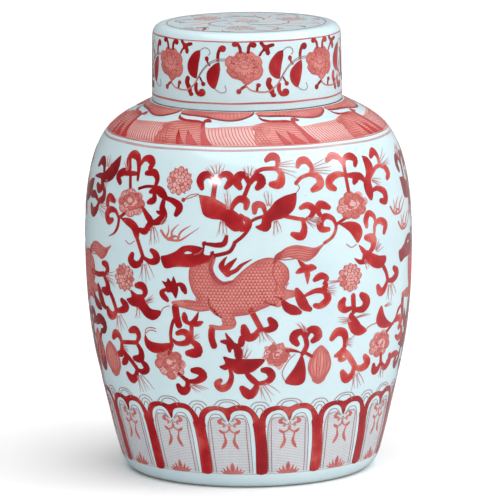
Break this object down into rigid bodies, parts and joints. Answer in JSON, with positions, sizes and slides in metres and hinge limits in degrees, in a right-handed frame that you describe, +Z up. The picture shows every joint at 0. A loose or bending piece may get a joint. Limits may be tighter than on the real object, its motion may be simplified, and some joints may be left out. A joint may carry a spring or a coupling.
{
  "type": "ginger jar",
  "caption": "Round-shouldered lidded porcelain jar with a wide mouth, a short neck and a flat cap lid that lifts straight off.",
  "frame": {"origin": "centre of the foot ring's resting plane", "axes": "+Z up along the axis the jar was turned about; the front of the decoration faces -Y"},
  "size_m": [0.2478, 0.2476, 0.34],
  "materials": {
    "body_glaze": "glossy bluish-white porcelain glaze",
    "lid_glaze": "glossy bluish-white porcelain glaze",
    "iron_red_enamel": "glossy overglaze enamel, brushed",
    "coral_enamel": "glossy thin overglaze enamel wash, brushed",
    "biscuit": "matt unglazed porcelain"
  },
  "bodies": {
    "jar": {"jar_body": "body_glaze"},
    "lid": {"lid": "lid_glaze"}
  },
  "joints": [
    {"name": "lid_lift", "type": "slide", "parent": "jar", "child": "lid", "axis": [0, 0, 1], "range_m": [0, 0.15]}
  ]
}
